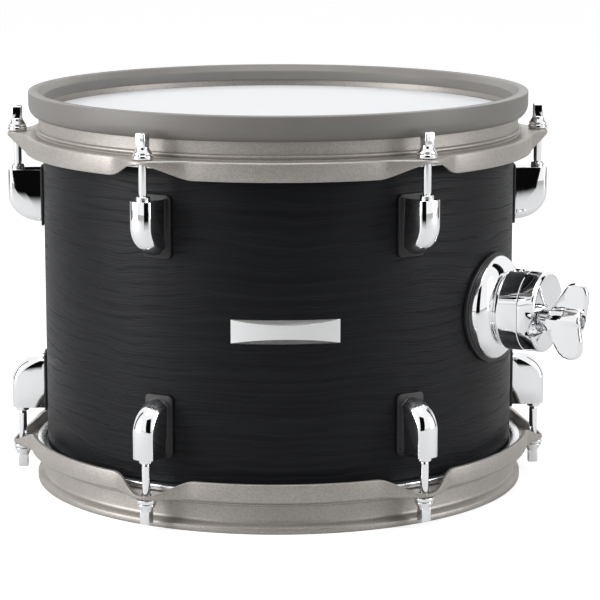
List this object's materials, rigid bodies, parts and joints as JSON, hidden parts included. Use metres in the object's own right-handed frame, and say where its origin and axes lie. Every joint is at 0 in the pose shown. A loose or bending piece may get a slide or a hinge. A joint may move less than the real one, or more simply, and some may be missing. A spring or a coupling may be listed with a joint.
{
  "type": "electronic tom drum",
  "caption": "Electronic tom drum with a white mesh head in a rubber-covered die-cast hoop, dark oak shell, chrome lugs with key rods, a rod clamp with wing nut and a bare badge plate.",
  "frame": {"origin": "centre of the batter head's playing surface", "axes": "+Z out of the batter head along the drum's axis; the badge faces -Y; the rod clamp is at +X, 30 degrees towards -Y; the output jack faces +Y"},
  "size_m": [0.3611, 0.3244, 0.2515],
  "materials": {
    "stained_oak": "black stained oak veneer under satin lacquer, grain running round the shell",
    "mesh_head": "white woven mesh",
    "black_film": "black polyester film",
    "aluminium": "satin",
    "hoop_metal": "warm grey metallic lacquer, fine flake",
    "rim_rubber": "matt warm grey rubber",
    "chrome": "mirror-bright plating",
    "black_rubber": "matt",
    "steel": "bright zinc plate",
    "piezo_brass": "rolled",
    "foam": "open-cell foam",
    "jack_plastic": "moulded"
  },
  "bodies": {
    "drum": {"shell": "stained_oak", "batter_head": "mesh_head", "batter_flesh_hoop": "aluminium", "resonant_head": "black_film", "resonant_flesh_hoop": "aluminium", "batter_hoop": "hoop_metal", "resonant_hoop": "hoop_metal", "rim_cover": "rim_rubber", "badge": "chrome", "batter_lug_1": "chrome", "batter_lug_2": "chrome", "batter_lug_3": "chrome", "batter_lug_4": "chrome", "batter_lug_5": "chrome", "batter_lug_6": "chrome", "resonant_lug_1": "chrome", "resonant_lug_2": "chrome", "resonant_lug_3": "chrome", "resonant_lug_4": "chrome", "resonant_lug_5": "chrome", "resonant_lug_6": "chrome", "bracket_gasket": "black_rubber", "bracket_base": "chrome", "eye_bolt": "steel", "bracket_screw_upper": "steel", "bracket_screw_lower": "steel", "sensor_bar": "steel", "sensor_plate": "aluminium", "head_piezo": "piezo_brass", "foam_cone": "foam", "output_jack": "jack_plastic", "jack_nut": "steel", "sensor_lead": "black_rubber"},
    "batter_washer_1": {"batter_washer_1": "chrome"},
    "batter_rod_1": {"batter_rod_1": "chrome"},
    "batter_washer_2": {"batter_washer_2": "chrome"},
    "batter_rod_2": {"batter_rod_2": "chrome"},
    "batter_washer_3": {"batter_washer_3": "chrome"},
    "batter_rod_3": {"batter_rod_3": "chrome"},
    "batter_washer_4": {"batter_washer_4": "chrome"},
    "batter_rod_4": {"batter_rod_4": "chrome"},
    "batter_washer_5": {"batter_washer_5": "chrome"},
    "batter_rod_5": {"batter_rod_5": "chrome"},
    "batter_washer_6": {"batter_washer_6": "chrome"},
    "batter_rod_6": {"batter_rod_6": "chrome"},
    "resonant_washer_1": {"resonant_washer_1": "chrome"},
    "resonant_rod_1": {"resonant_rod_1": "chrome"},
    "resonant_washer_2": {"resonant_washer_2": "chrome"},
    "resonant_rod_2": {"resonant_rod_2": "chrome"},
    "resonant_washer_3": {"resonant_washer_3": "chrome"},
    "resonant_rod_3": {"resonant_rod_3": "chrome"},
    "resonant_washer_4": {"resonant_washer_4": "chrome"},
    "resonant_rod_4": {"resonant_rod_4": "chrome"},
    "resonant_washer_5": {"resonant_washer_5": "chrome"},
    "resonant_rod_5": {"resonant_rod_5": "chrome"},
    "resonant_washer_6": {"resonant_washer_6": "chrome"},
    "resonant_rod_6": {"resonant_rod_6": "chrome"},
    "clamp_cap": {"bracket_cap": "chrome", "clamp_washer": "steel"},
    "wing_nut": {"wing_nut": "chrome"}
  },
  "joints": [
    {"name": "batter_rod_1_rise", "type": "slide", "parent": "drum", "child": "batter_washer_1", "axis": [0, 0, 1], "range_m": [0, 0.0053]},
    {"name": "batter_rod_1_turn", "type": "hinge", "parent": "batter_washer_1", "child": "batter_rod_1", "pos_m": [0.16715, 0, -0.0128], "axis": [0, 0, 1], "range_deg": [0, 1800]},
    {"name": "batter_rod_2_rise", "type": "slide", "parent": "drum", "child": "batter_washer_2", "axis": [0, 0, 1], "range_m": [0, 0.0053]},
    {"name": "batter_rod_2_turn", "type": "hinge", "parent": "batter_washer_2", "child": "batter_rod_2", "pos_m": [0.08357, 0.14476, -0.0128], "axis": [0, 0, 1], "range_deg": [0, 1800]},
    {"name": "batter_rod_3_rise", "type": "slide", "parent": "drum", "child": "batter_washer_3", "axis": [0, 0, 1], "range_m": [0, 0.0053]},
    {"name": "batter_rod_3_turn", "type": "hinge", "parent": "batter_washer_3", "child": "batter_rod_3", "pos_m": [-0.08357, 0.14476, -0.0128], "axis": [0, 0, 1], "range_deg": [0, 1800]},
    {"name": "batter_rod_4_rise", "type": "slide", "parent": "drum", "child": "batter_washer_4", "axis": [0, 0, 1], "range_m": [0, 0.0053]},
    {"name": "batter_rod_4_turn", "type": "hinge", "parent": "batter_washer_4", "child": "batter_rod_4", "pos_m": [-0.16715, 0, -0.0128], "axis": [0, 0, 1], "range_deg": [0, 1800]},
    {"name": "batter_rod_5_rise", "type": "slide", "parent": "drum", "child": "batter_washer_5", "axis": [0, 0, 1], "range_m": [0, 0.0053]},
    {"name": "batter_rod_5_turn", "type": "hinge", "parent": "batter_washer_5", "child": "batter_rod_5", "pos_m": [-0.08357, -0.14476, -0.0128], "axis": [0, 0, 1], "range_deg": [0, 1800]},
    {"name": "batter_rod_6_rise", "type": "slide", "parent": "drum", "child": "batter_washer_6", "axis": [0, 0, 1], "range_m": [0, 0.0053]},
    {"name": "batter_rod_6_turn", "type": "hinge", "parent": "batter_washer_6", "child": "batter_rod_6", "pos_m": [0.08357, -0.14476, -0.0128], "axis": [0, 0, 1], "range_deg": [0, 1800]},
    {"name": "resonant_rod_1_rise", "type": "slide", "parent": "drum", "child": "resonant_washer_1", "axis": [0, 0, -1], "range_m": [0, 0.0053]},
    {"name": "resonant_rod_1_turn", "type": "hinge", "parent": "resonant_washer_1", "child": "resonant_rod_1", "pos_m": [0.16715, 0, -0.2174], "axis": [0, 0, -1], "range_deg": [0, 1800]},
    {"name": "resonant_rod_2_rise", "type": "slide", "parent": "drum", "child": "resonant_washer_2", "axis": [0, 0, -1], "range_m": [0, 0.0053]},
    {"name": "resonant_rod_2_turn", "type": "hinge", "parent": "resonant_washer_2", "child": "resonant_rod_2", "pos_m": [0.08357, 0.14476, -0.2174], "axis": [0, 0, -1], "range_deg": [0, 1800]},
    {"name": "resonant_rod_3_rise", "type": "slide", "parent": "drum", "child": "resonant_washer_3", "axis": [0, 0, -1], "range_m": [0, 0.0053]},
    {"name": "resonant_rod_3_turn", "type": "hinge", "parent": "resonant_washer_3", "child": "resonant_rod_3", "pos_m": [-0.08357, 0.14476, -0.2174], "axis": [0, 0, -1], "range_deg": [0, 1800]},
    {"name": "resonant_rod_4_rise", "type": "slide", "parent": "drum", "child": "resonant_washer_4", "axis": [0, 0, -1], "range_m": [0, 0.0053]},
    {"name": "resonant_rod_4_turn", "type": "hinge", "parent": "resonant_washer_4", "child": "resonant_rod_4", "pos_m": [-0.16715, 0, -0.2174], "axis": [0, 0, -1], "range_deg": [0, 1800]},
    {"name": "resonant_rod_5_rise", "type": "slide", "parent": "drum", "child": "resonant_washer_5", "axis": [0, 0, -1], "range_m": [0, 0.0053]},
    {"name": "resonant_rod_5_turn", "type": "hinge", "parent": "resonant_washer_5", "child": "resonant_rod_5", "pos_m": [-0.08357, -0.14476, -0.2174], "axis": [0, 0, -1], "range_deg": [0, 1800]},
    {"name": "resonant_rod_6_rise", "type": "slide", "parent": "drum", "child": "resonant_washer_6", "axis": [0, 0, -1], "range_m": [0, 0.0053]},
    {"name": "resonant_rod_6_turn", "type": "hinge", "parent": "resonant_washer_6", "child": "resonant_rod_6", "pos_m": [0.08357, -0.14476, -0.2174], "axis": [0, 0, -1], "range_deg": [0, 1800]},
    {"name": "clamp_cap_slide", "type": "slide", "parent": "drum", "child": "clamp_cap", "axis": [0.866, -0.5, 0], "range_m": [0, 0.005]},
    {"name": "wing_nut_turn", "type": "hinge", "parent": "clamp_cap", "child": "wing_nut", "pos_m": [0.15848, -0.0915, -0.1193], "axis": [0.866, -0.5, 0], "range_deg": [0, 1440]}
  ],
  "couplings": [
    {"joint": "batter_rod_1_turn", "follows": "batter_rod_1_rise", "rad_per_m": 5927.5},
    {"joint": "batter_rod_2_turn", "follows": "batter_rod_2_rise", "rad_per_m": 5927.5},
    {"joint": "batter_rod_3_turn", "follows": "batter_rod_3_rise", "rad_per_m": 5927.5},
    {"joint": "batter_rod_4_turn", "follows": "batter_rod_4_rise", "rad_per_m": 5927.5},
    {"joint": "batter_rod_5_turn", "follows": "batter_rod_5_rise", "rad_per_m": 5927.5},
    {"joint": "batter_rod_6_turn", "follows": "batter_rod_6_rise", "rad_per_m": 5927.5},
    {"joint": "resonant_rod_1_turn", "follows": "resonant_rod_1_rise", "rad_per_m": 5927.5},
    {"joint": "resonant_rod_2_turn", "follows": "resonant_rod_2_rise", "rad_per_m": 5927.5},
    {"joint": "resonant_rod_3_turn", "follows": "resonant_rod_3_rise", "rad_per_m": 5927.5},
    {"joint": "resonant_rod_4_turn", "follows": "resonant_rod_4_rise", "rad_per_m": 5927.5},
    {"joint": "resonant_rod_5_turn", "follows": "resonant_rod_5_rise", "rad_per_m": 5927.5},
    {"joint": "resonant_rod_6_turn", "follows": "resonant_rod_6_rise", "rad_per_m": 5927.5},
    {"joint": "wing_nut_turn", "follows": "clamp_cap_slide", "rad_per_m": 5026.5}
  ]
}
